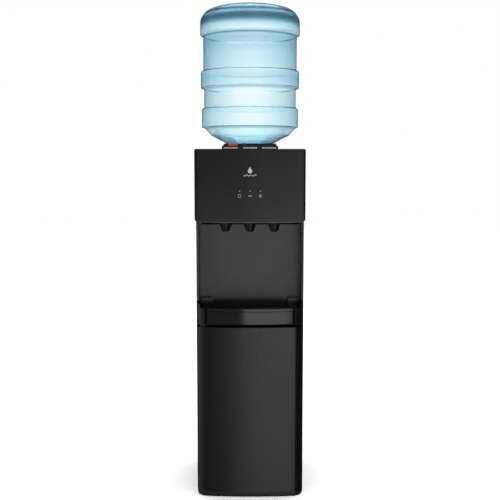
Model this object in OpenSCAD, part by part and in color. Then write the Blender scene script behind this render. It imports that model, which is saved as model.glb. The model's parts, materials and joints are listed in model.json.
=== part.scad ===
// Top-loading bottled water dispenser: floor-standing cabinet, three taps and an inverted bottle.
// +X is the user's right, -Y is the front and +Z is up. The origin is on the floor, under the
// middle of the whole machine, condenser included.

/* [Cabinet] */
// Width of the cabinet across its side panels
body_w = 296; // [250:1:360]
// How far the head stands out past the cabinet on each side
head_proud = 2; // [1:0.5:8]
// Depth of the cabinet, front face to rear panel
cabinet_d = 300; // [250:1:380]
// Radius of the front face's gentle bow in plan
bow_r = 1100; // [800:10:3000]
// Radius of the cabinet's front corners
corner_r = 32; // [15:1:45]
// Radius of the head's front corners
head_corner_r = 7; // [4:1:20]
// How far the moulded front parts run on behind the rounded corners
front_run = 0.4; // [0.4:0.1:20]
// Wall of the moulded covers
cover_wall = 3; // [2:0.5:4]
// Wall of the sheet-steel panels
sheet_wall = 1.2; // [0.8:0.1:2]

/* [Levels] */
// Height of the rubber feet
foot_h = 5; // [3:0.5:12]
// Height of the plinth band above the feet
plinth_h = 9; // [6:0.5:30]
// Height of the lower front panel
panel_h = 465; // [300:1:600]
// Shadow gap between the lower panel and the drip tray
shadow_gap = 7.5; // [5:0.5:15]
// Height of the drip tray
tray_h = 45.2; // [36:0.1:70]
// Height of the dispensing niche, tray to head
niche_h = 238.3; // [190:0.1:320]
// Height of the head
head_h = 195.2; // [185:0.1:260]
// Shadow gap between the niche's cheeks and the head
head_gap = 6.5; // [4:0.5:10]

/* [Dispensing niche] */
// Depth of the niche behind the front face
niche_d = 93; // [85:1:110]
// Thickness of the niche's side cheeks
cheek_wall = 5; // [3:0.5:8]
// Height of the drip-tray holder above the tray's rim, before the liner starts
holder_rise = 18.8; // [12:0.1:24]
// Height of the groove between the holder's columns and the niche cheeks
groove_h = 8; // [4:0.5:10]
// Length of the raised blocks in the niche's rear corners
block_w = 39; // [25:1:50]
// Depth of the raised blocks
block_d = 16; // [12:1:20]

/* [Drip tray] */
// Width of the holder's columns beside the tray
column_w = 25; // [18:0.5:30]
// Wall of the tray
tray_wall = 2.5; // [2:0.5:4]
// Radius of the tray front's bow in plan
tray_bow_r = 480; // [400:10:1500]
// Height of the tray's raised front lip
lip_h = 9.4; // [8:0.1:16]
// How far the lip stands out from the tray's face
lip_proud = 4; // [2:0.5:6]
// Thickness of the drip grille
grille_t = 3; // [2:0.5:4]
// Number of slots across the grille
slot_count = 19; // [9:2:25]

/* [Taps] */
// Distance between the taps
tap_pitch = 66; // [60:1:67]
// Distance of the taps behind the front face
tap_back = 22; // [21:0.5:24]
// Height of the spout below the head
spout_h = 28; // [20:1:40]
// Radius of the spout where it leaves the head
spout_top_r = 18.5; // [16:0.5:20]
// Radius of the spout's mouth
spout_tip_r = 10.5; // [8:0.5:13]
// Radius of the valve stem
stem_r = 2.5; // [2:0.25:3]

/* [Push buttons] */
// Distance between the buttons
key_pitch = 51; // [50:0.5:54]
// Width of one button
key_w = 38.5; // [36:0.5:42]
// Depth of one button
key_d = 42; // [36:1:46]
// Height of one button's face
key_h = 9.3; // [7:0.1:14]
// Width of the housing round the buttons
housing_w = 151; // [150:1:170]
// Depth of the housing
housing_d = 51; // [51:1:58]
// Height of the housing's front rail
rail_h = 5; // [4:0.5:8]

/* [Bottle] */
// Distance of the bottle's axis behind the front face
bottle_back = 150; // [145:1:170]
// Radius of the bottle's top ring
bottle_r = 140; // [110:1:140]
// Height of the bottle above the head
bottle_h = 395; // [395:1:480]
// Wall of the bottle
bottle_wall = 1.8; // [1.2:0.1:3]
// Radius of the bottle's neck
neck_r = 28; // [24:0.5:30]
// Radius of the funnel's collar
collar_r = 70; // [60:1:75]

/* [Water system] */
// Radius of the cold tank
cold_tank_r = 58; // [50:1:60]
// Height of the cold tank
cold_tank_h = 84; // [70:1:90]
// Radius of the hot tank
hot_tank_r = 44; // [34:1:46]
// Height of the hot tank
hot_tank_h = 112; // [90:1:150]
// Thickness of the tanks' foam insulation
foam_t = 14; // [8:1:15]
// Radius of the water hoses
hose_r = 4.5; // [3:0.5:6]

/* [Cooling system] */
// Depth of the condenser behind the rear panel
condenser_d = 30; // [22:1:50]
// Height of the condenser
condenser_h = 540; // [350:10:560]
// Number of condenser rows
condenser_rows = 12; // [6:2:16]
// Radius of the refrigerant tube
pipe_r = 2.5; // [2:0.25:4]
// Radius of the compressor's shell
compressor_r = 60; // [45:1:65]
// Height of the compressor
compressor_h = 150; // [110:1:170]

/* [Hidden] */

// Smoothness of small rounds, of rings and of the shallow bows
$fn = 48;
ring_fn = 96;
bow_fn = 720;
// Gap between fixed pieces, gap round pieces that move, and running fit of a stem in its bore
seam = 0.3;
play = 0.5;
run_fit = 0.05;
// Cutting tools reach this far past a face
over = 1;

// Depth stations
front_y = -(cabinet_d + condenser_d) / 2;
rear_y = front_y + cabinet_d;
bow_drop = bow_r - sqrt(bow_r ^ 2 - (body_w / 2 - corner_r) ^ 2);
wrap_y = front_y + bow_drop + corner_r + front_run;
niche_y = front_y + niche_d;
tap_y = front_y + tap_back;
axis_y = front_y + bottle_back;

// Height stations
plinth_z = foot_h;
pan_z = plinth_z + plinth_h;
panel_z = pan_z + seam;
panel_top = panel_z + panel_h;
holder_z = panel_top + seam;
tray_z = panel_top + shadow_gap;
tray_top = tray_z + tray_h;
liner_z = tray_top + holder_rise;
head_z = tray_top + niche_h;
head_top = head_z + head_h;

// Head
head_w = body_w + 2 * head_proud;
head_bow_r = 4000;
head_set = 0.3;

// Drip tray
tray_half = body_w / 2 - column_w;
bay_back = niche_y - block_d;
basin_floor = tray_z + tray_wall;

// Tap and valve levels, measured from the underside of the head
flange_z = head_z;
seat_z = head_z + 12;
seat_t = 4;
chamber_top = head_z + 42;
valve_top = chamber_top + 4;
spring_h = 22;
collar_z = valve_top + spring_h;
stem_top = collar_z + 6;
seat_bore = 5;
poppet_r = 7.5;

// Buttons
key_z = head_top + rail_h + seam;
key_top = key_z + key_h;
key_front = front_y + 3.5;
key_back = key_front + key_d;
head_back = key_back + 12;
hinge_y = key_back - 3;
hinge_z = key_z + 2.5;
hinge_pin_r = 1.5;
rod_r = 3;
rod_top = head_top + 1;
lock_w = key_w - 12.5;
lock_x = -key_pitch + key_w / 2 - 1.05 - lock_w / 2;
lock_h = 7.6;
lock_d = 11;
lock_travel = 4;

// Bottle and funnel stations
bottle_top = head_top + bottle_h;
cone_z = head_top + 20;
shoulder_z = head_top + 59;
neck_z = head_top - 2;
mouth_z = head_top - 62;
cap_z = mouth_z - 12;
throat_r = neck_r + 6;
funnel_floor = cap_z - 6;
tank_top = funnel_floor - 10;
tank_z = tank_top - cold_tank_h;
riser_back = 26;

// Hot tank stands behind the niche wall
hot_y = niche_y + cover_wall + hot_tank_r + foam_t + 14;
hot_z = liner_z + 40;

// Cooling system
compressor_y = rear_y - compressor_r - 30;
compressor_z = pan_z + sheet_wall + 12;
coil_half = body_w / 2 - 26;
coil_top = head_z + 40;
coil_z = coil_top - condenser_h;
wire_r = 0.8;
weld = 0.15;
coil_y = rear_y + condenser_d - pipe_r - 2 * wire_r + weld;
switch_z = head_top - 62;
switch_x = [-96, -60];
gland_p = [92, rear_y, 62];
drain_p = [-88, rear_y, 170];
drain_r = 8;
bracket_x = coil_half - 16;
line_x = 52;

// Colours
black = [0.10, 0.10, 0.11];
dark = [0.06, 0.06, 0.07];
steel = [0.74, 0.75, 0.77];
light = [0.62, 0.63, 0.65];
foam = [0.93, 0.93, 0.90];
copper = [0.72, 0.43, 0.28];
red = [0.78, 0.16, 0.10];
rubber = [0.08, 0.08, 0.08];
pale_blue = [0.60, 0.82, 0.92, 0.5];

// ---------------------------------------------------------------- helpers

// A block between two opposite corners
module block(lo, hi) {
    translate(lo) cube(hi - lo);
}

// A cylinder along Z, given the middle of its foot
module disc(p, r, h) {
    translate(p) cylinder(r = r, h = h);
}

// A cylinder that runs back along +Y from p
module pin_y(p, r, h) {
    translate(p) rotate([-90, 0, 0]) cylinder(r = r, h = h);
}

// A cylinder that runs along +X from p
module pin_x(p, r, h) {
    translate(p) rotate([0, 90, 0]) cylinder(r = r, h = h);
}

// Plan outline: bowed front at y0, rounded front corners, square back at y1
module plan(w, y0, y1, bow, cr) {
    half = w / 2;
    drop = bow - sqrt(bow * bow - (half - cr) * (half - cr));
    cy = y0 + drop + cr;
    intersection() {
        union() {
            translate([-half + cr, y0]) square([w - 2 * cr, y1 - y0]);
            translate([-half, cy]) square([w, y1 - cy]);
            for (s = [-1, 1]) translate([s * (half - cr), cy]) circle(r = cr);
        }
        translate([-half, y0]) square([w, y1 - y0]);
        translate([0, y0 + bow]) circle(r = bow, $fn = bow_fn);
    }
}

// The cabinet's outline, stepped in by a wall thickness and cut off at y1
module cabinet_plan(inset, y1) {
    plan(body_w - 2 * inset, front_y + inset, y1, bow_r - inset, corner_r - inset);
}

// The head's outline, stepped in by a wall thickness and set just behind the tray's lip
module head_plan(inset, y1) {
    plan(head_w - 2 * inset, front_y + head_set + inset, y1, head_bow_r, head_corner_r - min(inset, 3.5));
}

// The drip tray's outline: square corners behind a bowed front
module tray_plan(half, y0, y1) {
    intersection() {
        translate([-half, y0]) square([2 * half, y1 - y0]);
        translate([0, y0 + tray_bow_r]) circle(r = tray_bow_r, $fn = bow_fn);
    }
}

// A plan outline raised between two levels
module raised(z0, z1) {
    translate([0, 0, z0]) linear_extrude(z1 - z0) children();
}

function unit(v) = v / norm(v);
function tangent(p, i) =
    i == 0 ? unit(p[1] - p[0]) :
    i == len(p) - 1 ? unit(p[i] - p[i - 1]) :
    unit(unit(p[i + 1] - p[i]) + unit(p[i] - p[i - 1]));
function side_axis(t) = unit(cross(t, abs(t[2]) < 0.9 ? [0, 0, 1] : [1, 0, 0]));
// Normals carried along a path without twist
function carried(p, i) =
    i == 0 ? side_axis(tangent(p, 0)) :
    let (t = tangent(p, i), n = carried(p, i - 1)) unit(n - (n * t) * t);

// A route with each corner replaced by a curve that starts d before it and ends d after it
function bent(route, d) = [
    for (i = [0:len(route) - 1])
        if (i == 0 || i == len(route) - 1) route[i]
        else let (
            a = route[i] + d * unit(route[i - 1] - route[i]),
            b = route[i] + d * unit(route[i + 1] - route[i])
        ) each [for (s = [0:0.25:1]) (1 - s) * (1 - s) * a + 2 * s * (1 - s) * route[i] + s * s * b]
];

// A round tube swept along a path
module swept(p, r, sides) {
    n = len(p);
    points = [
        for (i = [0:n - 1])
            let (t = tangent(p, i), a = carried(p, i), b = cross(t, a))
                for (k = [0:sides - 1]) p[i] + r * (cos(360 * k / sides) * a + sin(360 * k / sides) * b)
    ];
    skin = [
        for (i = [0:n - 2]) for (k = [0:sides - 1])
            let (j = (k + 1) % sides)
                [i * sides + k, (i + 1) * sides + k, (i + 1) * sides + j, i * sides + j]
    ];
    foot = [for (k = [0:sides - 1]) k];
    head = [for (k = [sides - 1:-1:0]) (n - 1) * sides + k];
    polyhedron(points = points, faces = concat([foot, head], skin));
}

// Points of a helix about a vertical axis through p
function helix(p, r, h, turns, per_turn) = [
    for (i = [0:turns * per_turn])
        p + [r * cos(360 * i / per_turn), r * sin(360 * i / per_turn), h * i / (turns * per_turn)]
];

// ---------------------------------------------------------------- base

module base_pan() {
    half = body_w / 2 - sheet_wall - seam;
    lip = 14;
    back = rear_y - sheet_wall - seam;
    color(dark)
    difference() {
        block([-half, wrap_y + seam, pan_z], [half, back, pan_z + lip]);
        block([-half + sheet_wall, wrap_y + seam + sheet_wall, pan_z + sheet_wall],
              [half - sheet_wall, back - sheet_wall, pan_z + lip + over]);
    }
}

module base_plinth() {
    foot_x = 78;
    color(dark)
    difference() {
        raised(plinth_z + seam, pan_z) cabinet_plan(0.6, rear_y - 4);
        raised(plinth_z - over, pan_z - 3) cabinet_plan(5, rear_y - 9);
        for (s = [-1, 1])
            block([s * foot_x - 6, front_y - over, plinth_z - over],
                  [s * foot_x + 6, front_y + 5.4, plinth_z + 1]);
    }
}

// Two shaped front feet with slanted inner ends and two round rear feet
module rubber_feet() {
    inner = 78;
    outer = body_w / 2 - 4;
    slant = 5;
    color(rubber) {
        for (s = [-1, 1]) {
            intersection() {
                raised(0, plinth_z) cabinet_plan(3, front_y + 60);
                scale([s, 1, 1]) translate([0, front_y + 60, 0]) rotate([90, 0, 0])
                linear_extrude(61) polygon([
                    [inner + slant, 0], [outer - 4, 0], [outer, plinth_z], [inner, plinth_z]
                ]);
            }
            disc([s * (outer - 24), rear_y - 34, 0], 16, plinth_z);
        }
    }
}

// ---------------------------------------------------------------- cabinet

// Steel side panel with a return flange for the rear panel
module side_panel(s) {
    half = body_w / 2;
    flange = 14;
    back = rear_y - sheet_wall - seam;
    color(black)
    difference() {
        union() {
            block([min(s * half, s * (half - sheet_wall)), wrap_y + seam, pan_z],
                  [max(s * half, s * (half - sheet_wall)), back, head_top - 26]);
            block([min(s * half, s * (half - flange)), back - sheet_wall, pan_z + 16],
                  [max(s * half, s * (half - flange)), back, head_top - 26]);
        }
        block([-half - over, wrap_y - over, head_z - seam], [half + over, head_back + seam, head_top]);
        screw_shanks(2.2);
    }
}

module front_panel() {
    color(black) {
        raised(panel_z, panel_top) difference() {
            cabinet_plan(0, wrap_y);
            cabinet_plan(cover_wall, wrap_y + over);
        }
        for (z = [panel_z, panel_top - cover_wall])
            raised(z, z + cover_wall) difference() {
                cabinet_plan(1, wrap_y);
                translate([-body_w / 2 + 18, front_y + 18]) square([body_w - 36, wrap_y - front_y]);
            }
    }
}

module niche_liner() {
    cheek_in = body_w / 2 - cheek_wall - sheet_wall - seam;
    back_half = body_w / 2 - sheet_wall - seam;
    ceiling_z = head_z - seam - cover_wall;
    gap_deep = 25;
    vent_h = 8;
    vent_z = ceiling_z - 2.5 - vent_h;
    color(black)
    difference() {
        raised(liner_z, head_z - seam) {
            cabinet_plan(0, wrap_y);
            translate([-back_half, wrap_y - over])
                square([2 * back_half, niche_y + cover_wall - wrap_y + over]);
        }
        block([-cheek_in, front_y - over, liner_z - over], [cheek_in, niche_y, ceiling_z]);
        block([-body_w, front_y - over, head_z - head_gap], [body_w, front_y + gap_deep, ceiling_z]);
        block([-cheek_in + 4, niche_y - over, vent_z],
              [cheek_in - 4, niche_y + cover_wall + over, vent_z + vent_h]);
        tap_places() disc([0, 0, liner_z], spout_top_r + play, niche_h);
    }
}

// Frame that carries the drip tray: columns, shelf, rear ledge and raised rear corner blocks
module tray_holder() {
    back_half = body_w / 2 - sheet_wall - seam;
    in_half = back_half - cheek_wall;
    bay = tray_half + play;
    column_top = liner_z - groove_h;
    slant = 6;
    gap_inset = 6.5;
    gap_deep = 32;
    color(black)
    difference() {
        union() {
            raised(holder_z, tray_top) {
                cabinet_plan(gap_inset, wrap_y);
                translate([-back_half, wrap_y - over])
                    square([2 * back_half, niche_y + cover_wall - wrap_y + over]);
            }
            raised(tray_z - play, tray_top) cabinet_plan(0.5, wrap_y);
            raised(tray_top - over, column_top) difference() {
                union() {
                    cabinet_plan(0.5, wrap_y);
                    translate([-back_half, wrap_y - over])
                        square([2 * back_half, niche_y + cover_wall - wrap_y + over]);
                }
                translate([-in_half + 4, front_y - over]) square([2 * in_half - 8, niche_d + over]);
            }
            for (s = [-1, 1]) scale([s, 1, 1]) translate([0, niche_y + over, 0]) rotate([90, 0, 0])
                linear_extrude(block_d + over) polygon([
                    [in_half - block_w, tray_top - over], [in_half + 1, tray_top - over],
                    [in_half + 1, liner_z - seam], [in_half - block_w + slant, liner_z - seam]
                ]);
            block([-back_half, niche_y, tray_top - over], [back_half, niche_y + cover_wall, liner_z - seam]);
        }
        block([-bay, front_y - over, tray_z - play], [bay, bay_back, liner_z + over]);
        block([-bay, front_y - over, holder_z - over], [bay, front_y + gap_deep, tray_z]);
        for (s = [-1, 1])
            block([s * (bay + column_w / 2) - 7, wrap_y - 14, holder_z - over],
                  [s * (bay + column_w / 2) + 5 - s, bay_back, column_top - cover_wall]);
    }
}

module drip_tray() {
    back = bay_back - play;
    face_y = front_y + lip_proud;
    rim_z = tray_top - grille_t - 1;
    color(black)
    difference() {
        union() {
            raised(tray_z, tray_top - lip_h) tray_plan(tray_half, face_y, back);
            raised(tray_top - lip_h, tray_top) tray_plan(tray_half, front_y, back);
        }
        raised(basin_floor, tray_top + over)
            tray_plan(tray_half - tray_wall - 3, face_y + tray_wall + 3, back - tray_wall - 3);
        raised(rim_z, tray_top + over)
            tray_plan(tray_half - tray_wall, face_y + tray_wall, back - tray_wall);
    }
}

module drip_grille() {
    back = bay_back - play - tray_wall - play;
    half = tray_half - tray_wall - play;
    front = front_y + lip_proud + tray_wall + play;
    z0 = tray_top - grille_t - 1 + seam;
    pitch = 2 * (half - 8) / slot_count;
    color(dark)
    difference() {
        raised(z0, z0 + grille_t) tray_plan(half, front, back);
        for (i = [0:slot_count - 1])
            block([-half + 8 + (i + 0.28) * pitch, front + 22, z0 - over],
                  [-half + 8 + (i + 0.72) * pitch, back - 7, z0 + grille_t + over]);
        disc([0, front + 12, z0 - over], 5, grille_t + 2 * over);
    }
}

module rear_panel() {
    half = body_w / 2 - 0.5;
    y0 = rear_y - sheet_wall;
    color(dark)
    difference() {
        block([-half, y0, pan_z + 16], [half, rear_y, head_top - 26]);
        screw_shanks(2.2);
        for (x = switch_x) block([x - 11, y0 - over, switch_z - 16], [x + 11, rear_y + over, switch_z + 16]);
        pin_y([gland_p[0], y0 - over, gland_p[2]], 8 + play, sheet_wall + 2 * over);
        pin_y([drain_p[0], y0 - over, drain_p[2]], drain_r + play, sheet_wall + 2 * over);
        for (x = [-30:12:30]) for (z = [pan_z + 40:24:pan_z + 136])
            block([x - 3, y0 - over, z], [x + 3, rear_y + over, z + 16]);
        pin_y([line_x, y0 - over, coil_z - 22], 5, sheet_wall + 2 * over);
    }
}

// Places of the rear panel's screws
module screw_places() {
    for (s = [-1, 1]) for (k = [0:3])
        translate([s * (body_w / 2 - 8), rear_y, pan_z + 30 + k * (head_top - 66 - pan_z - 30) / 3])
            children();
}

module screw_shanks(r) {
    screw_places() pin_y([0, -12, 0], r, 14);
}

module panel_screws() {
    color(steel)
    screw_places() difference() {
        union() {
            pin_y([0, -9, 0], 1.9, 9.2);
            pin_y([0, 0.05, 0], 4, 2.2);
        }
        block([-2.6, 1.3, -0.5], [2.6, 3, 0.5]);
        block([-0.5, 1.3, -2.6], [0.5, 3, 2.6]);
    }
}

// ---------------------------------------------------------------- head

module head_cover() {
    y1 = head_back;
    cut_half = housing_w / 2 - 5;
    light_z = head_top - 112.6;
    half = head_w / 2;
    top_r = 5;
    chamfer = 5;
    color(black)
    difference() {
        intersection() {
            raised(head_z, head_top) head_plan(0, y1);
            translate([0, y1, 0]) rotate([90, 0, 0]) linear_extrude(y1 - front_y + over) union() {
                polygon([
                    [-half, head_top - top_r], [-half, head_z + chamfer], [-half + chamfer, head_z],
                    [half - chamfer, head_z], [half, head_z + chamfer], [half, head_top - top_r]
                ]);
                translate([-half + top_r, head_top - 2 * top_r]) square([head_w - 2 * top_r, 2 * top_r]);
                for (s = [-1, 1]) translate([s * (half - top_r), head_top - top_r]) circle(r = top_r);
            }
        }
        raised(head_z + chamfer, head_top - cover_wall) head_plan(cover_wall, y1 + over);
        raised(head_z - over, head_z + chamfer + over) intersection() {
            head_plan(cover_wall, y1 + over);
            translate([-half + cover_wall + chamfer - 1, front_y])
                square([head_w - 2 * cover_wall - 2 * chamfer + 2, y1 + over - front_y]);
        }
        block([-cut_half, front_y + 6, head_top - 6], [cut_half, key_back + 5, head_top + over]);
        for (x = [-28, 0, 28]) pin_y([x, front_y - over, light_z], 1.6, cover_wall + 2 * over);
    }
}

module top_cover() {
    y0 = head_back + seam;
    color(black)
    difference() {
        block([-head_w / 2, y0, head_top - 25], [head_w / 2, rear_y + 3, head_top]);
        block([-head_w / 2 + cover_wall, y0 - over, head_top - 26],
              [head_w / 2 - cover_wall, rear_y, head_top - cover_wall]);
        disc([0, axis_y, head_top - 10], collar_r + play, 20, $fn = ring_fn);
    }
}

// Collar, guard wall and throat that the bottle's neck drops into
module bottle_funnel() {
    wall = 3;
    lip = 6;
    slope = (cone_z - neck_z) / (collar_r - neck_r - 0.5);
    rim = cone_z - (lip + play) * slope - play;
    color(dark)
    translate([0, axis_y, 0]) rotate_extrude($fn = ring_fn) polygon([
        [collar_r, rim], [collar_r - lip, rim], [collar_r - lip, head_top - 14], [throat_r, head_top - 34],
        [throat_r, funnel_floor + wall], [9.3, funnel_floor + wall], [9.3, funnel_floor],
        [throat_r + wall, funnel_floor], [throat_r + wall, head_top - 36],
        [collar_r - 1.5, head_top - 17], [collar_r - 1.5, head_top - 4], [collar_r, head_top - 3],
        [collar_r, head_top + seam], [collar_r + 14, head_top + seam], [collar_r + 13, head_top + 2],
        [collar_r, head_top + 2.4]
    ]);
}

// Hollow spike that opens the bottle's cap and lets water down and air up
module water_probe() {
    tip = mouth_z + 34;
    base = funnel_floor + 3;
    color(light)
    translate([0, axis_y, 0]) difference() {
        union() {
            disc([0, 0, base + seam], 15, 2);
            disc([0, 0, base + seam], 11.5, tip - base - 6);
            translate([0, 0, tip - 6 + seam]) cylinder(r1 = 11.5, r2 = 6, h = 6);
            disc([0, 0, tank_top - 22], 8.5, base + 1 - tank_top + 22);
        }
        disc([0, 0, tank_top - 23], 6, tip - 10 - tank_top + 23);
        for (a = [0, 90]) rotate([0, 0, a]) block([-14, -3, tip - 24], [14, 3, tip - 12]);
    }
}

// Ring seal between the funnel's floor and the cold tank's lid
module funnel_seal() {
    color(rubber)
    translate([0, axis_y, tank_top + seam]) difference() {
        cylinder(r = throat_r - 4, h = funnel_floor - tank_top - 2 * seam);
        translate([0, 0, -over]) cylinder(r = throat_r - 10, h = 20);
    }
}

module indicator_board() {
    z = head_top - 112.6;
    y = front_y + 8;
    color([0.10, 0.35, 0.18])
    difference() {
        block([-46, y, z - 16], [46, y + 1.6, z + 20]);
        for (x = [-40, 40]) pin_y([x, y - over, z + 12], 1.6, 4);
    }
}

module indicator_lights() {
    color(light)
    for (x = [-28, 0, 28]) translate([x, front_y, head_top - 112.6]) {
        pin_y([0, 0.4, 0], 1.5, 7.3);
        pin_y([0, 5.2, 0], 2.2, 2.5);
    }
}

// ---------------------------------------------------------------- buttons

// Frame with three pockets and bearings for the buttons' pins
module button_housing() {
    half = housing_w / 2;
    top = key_top - 2.6;
    y0 = front_y + 0.8;
    y1 = y0 + housing_d;
    cut_half = half - 5 - play;
    color(black)
    difference() {
        union() {
            translate([0, y1, 0]) rotate([90, 0, 0]) linear_extrude(y1 - y0) polygon([
                [-half, head_top + seam], [half, head_top + seam], [half, head_top + 6], [half - 7, top],
                [-half + 7, top], [-half, head_top + 6]
            ]);
            block([-cut_half, front_y + 6 + play, head_top - 3],
                  [cut_half, key_back + 5 - play, head_top + over]);
        }
        for (i = [-1:1]) translate([i * key_pitch, 0, 0]) {
            block([-key_w / 2 - play, key_front - play, head_top + seam],
                  [key_w / 2 + play, key_back + play, top + over]);
            block([-key_w / 2 - play, y0 - over, key_z - seam],
                  [key_w / 2 + play, key_front + over, top + over]);
            pin_x([-key_w / 2 - 3.5, hinge_y, hinge_z], hinge_pin_r + run_fit, key_w + 7);
        }
        tap_places() disc([0, 0, head_top - 5], rod_r + 1.6, 12);
    }
}

// One rocking button; dx is where its foot meets the push rod
module button(i) {
    x = i * key_pitch;
    foot_x = i * tap_pitch - x;
    wall = 1.8;
    color(black)
    translate([x, 0, 0]) difference() {
        union() {
            difference() {
                translate([-key_w / 2, 0, 0]) rotate([90, 0, 90]) linear_extrude(key_w) polygon([
                    [key_front, key_z], [key_back, key_z], [key_back, key_top - 2.6],
                    [key_front + 16, key_top], [key_front + 3, key_top], [key_front, key_top - 3]
                ]);
                block([-key_w / 2 + wall,
                       key_front + (i == -1 ? lock_d + lock_travel + 4 : wall + 1), key_z - over],
                      [key_w / 2 - wall, key_back - 7, key_top - 2.6 - wall]);
            }
            intersection() {
                disc([foot_x, tap_y, rod_top + play], rod_r, key_top - 3 - rod_top);
                block([-key_w / 2, front_y, rod_top], [key_w / 2, key_back, key_top]);
            }
            pin_x([-key_w / 2 - 3, hinge_y, hinge_z], hinge_pin_r, key_w + 6);
        }
        if (i == -1)
            block([lock_x - x - lock_w / 2 - play, key_front - over, key_top - lock_h - seam],
                  [lock_x - x + lock_w / 2 + play, key_front + lock_d + lock_travel + 1, key_top + over]);
    }
}

// Red slider on the hot button
module child_lock() {
    color(red)
    translate([lock_x - lock_w / 2, 0, 0]) rotate([90, 0, 90]) linear_extrude(lock_w) polygon([
        [key_front - 0.3, key_top - lock_h], [key_front + lock_d, key_top - lock_h],
        [key_front + lock_d, key_top - 1], [key_front + lock_d - 3, key_top],
        [key_front + 3, key_top], [key_front - 0.3, key_top - 3]
    ]);
}

// Places of the three taps
module tap_places() {
    for (i = [-1:1]) translate([i * tap_pitch, tap_y, 0]) children();
}

module push_rod(i) {
    color(light)
    disc([i * tap_pitch, tap_y, stem_top], rod_r, rod_top - stem_top);
}

// Spout, flange, valve chamber and hose nozzle in one moulding
module tap(i) {
    nozzle_z = seat_z + seat_t + 12;
    color(black)
    translate([i * tap_pitch, tap_y, 0]) difference() {
        union() {
            translate([0, 0, head_z - spout_h + 3])
                cylinder(r1 = spout_tip_r + 0.8, r2 = spout_top_r, h = spout_h - 3);
            translate([0, 0, head_z - spout_h])
                cylinder(r1 = spout_tip_r - 2, r2 = spout_tip_r + 0.8, h = 3);
            intersection() {
                disc([0, 0, flange_z], spout_top_r + 2.4, 3);
                block([-50, cover_wall + 1.3 - tap_back, flange_z - over], [50, 50, flange_z + 4]);
            }
            disc([0, 0, flange_z], 13, valve_top - flange_z);
            pin_y([0, 0, nozzle_z], 3.6, 25);
        }
        disc([0, 0, head_z - spout_h - over], seat_bore, spout_h + 6);
        disc([0, 0, head_z - 2], poppet_r + 1, seat_z - head_z + 2);
        disc([0, 0, seat_z - over], seat_bore, seat_t + 2 * over);
        disc([0, 0, seat_z + seat_t], 9, chamber_top - seat_z - seat_t);
        disc([0, 0, chamber_top - over], stem_r + run_fit, valve_top - chamber_top + 2 * over);
        pin_y([0, 8, nozzle_z], 2.2, 20);
    }
}

module plunger(i) {
    color(rubber)
    translate([i * tap_pitch, tap_y, 0]) {
        disc([0, 0, seat_z - 6], stem_r, stem_top - seat_z + 6 - seam);
        disc([0, 0, seat_z - 6], poppet_r, 6 - seam);
        disc([0, 0, collar_z], 6.5, 2.5);
    }
}

module return_spring(i) {
    wire = 0.5;
    color(steel)
    swept(helix([i * tap_pitch, tap_y, valve_top + wire + 0.1], 4.6, spring_h - 2 * wire - 0.4, 6, 14),
          wire, 6);
}

// ---------------------------------------------------------------- water system

module cold_tank() {
    wall = 1;
    color(steel)
    translate([0, axis_y, 0]) difference() {
        union() {
            disc([0, 0, tank_z], cold_tank_r, cold_tank_h, $fn = ring_fn);
            disc([0, 0, tank_z - 9], 5, 10);
            disc([0, -riser_back, tank_z - 9], 4, 10);
        }
        difference() {
            disc([0, 0, tank_z + wall], cold_tank_r - wall, cold_tank_h - 2 * wall, $fn = ring_fn);
            disc([0, -riser_back, tank_z], 4, cold_tank_h - 22);
        }
        disc([0, -riser_back, tank_z - 10], 2.8, cold_tank_h);
        disc([0, 0, tank_top - 3], 10, 6);
        disc([0, 0, tank_z - 10], 3.6, 14);
    }
}

// Foam cup round the cold tank and its coil
module cold_insulation() {
    inner = cold_tank_r + 2 * pipe_r + 3;
    color(foam)
    translate([0, axis_y, 0]) difference() {
        disc([0, 0, tank_z - 6], inner + foam_t, cold_tank_h + 2, $fn = ring_fn);
        disc([0, 0, tank_z - seam], inner, cold_tank_h + 8, $fn = ring_fn);
        disc([0, 0, tank_z - 8], 6, 20);
        disc([0, -riser_back, tank_z - 8], 5, 20);
    }
}

module evaporator_coil() {
    color(copper)
    swept(helix([0, axis_y, tank_z + 10], cold_tank_r + pipe_r + 0.6, cold_tank_h - 30, 6, 28), pipe_r, 8);
}

// Disc inside the cold tank that keeps incoming water above the chilled water
module baffle_plate() {
    color(light)
    translate([0, axis_y, tank_top - 30]) difference() {
        union() {
            cylinder(r = cold_tank_r - 3, h = 2);
            cylinder(r = 16, h = 6);
        }
        translate([0, 0, -over]) cylinder(r = 11, h = 10);
        for (a = [0:60:300]) rotate([0, 0, a]) disc([38, 0, -over], 4, 4);
        disc([0, -riser_back, -over], 4.6, 4);
    }
}

module hot_tank() {
    wall = 1;
    color(steel)
    translate([0, hot_y, 0]) difference() {
        union() {
            disc([0, 0, hot_z], hot_tank_r, hot_tank_h, $fn = ring_fn);
            disc([0, 0, hot_z + hot_tank_h - 0.5], 5, 14);
        }
        disc([0, 0, hot_z + wall], hot_tank_r - wall, hot_tank_h - 2 * wall, $fn = ring_fn);
        disc([0, 0, hot_z + hot_tank_h - 3], 3.6, 18);
    }
}

module hot_insulation() {
    inner = hot_tank_r + 4;
    color(foam)
    translate([0, hot_y, 0]) difference() {
        disc([0, 0, hot_z - 8], inner + foam_t - 4, hot_tank_h + 8, $fn = ring_fn);
        disc([0, 0, hot_z - seam], inner, hot_tank_h + 8, $fn = ring_fn);
    }
}

module heater_band() {
    color(steel)
    translate([0, hot_y, hot_z + 10]) difference() {
        cylinder(r = hot_tank_r + 3, h = 26, $fn = ring_fn);
        translate([0, 0, -over]) cylinder(r = hot_tank_r + seam, h = 30, $fn = ring_fn);
    }
}

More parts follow.
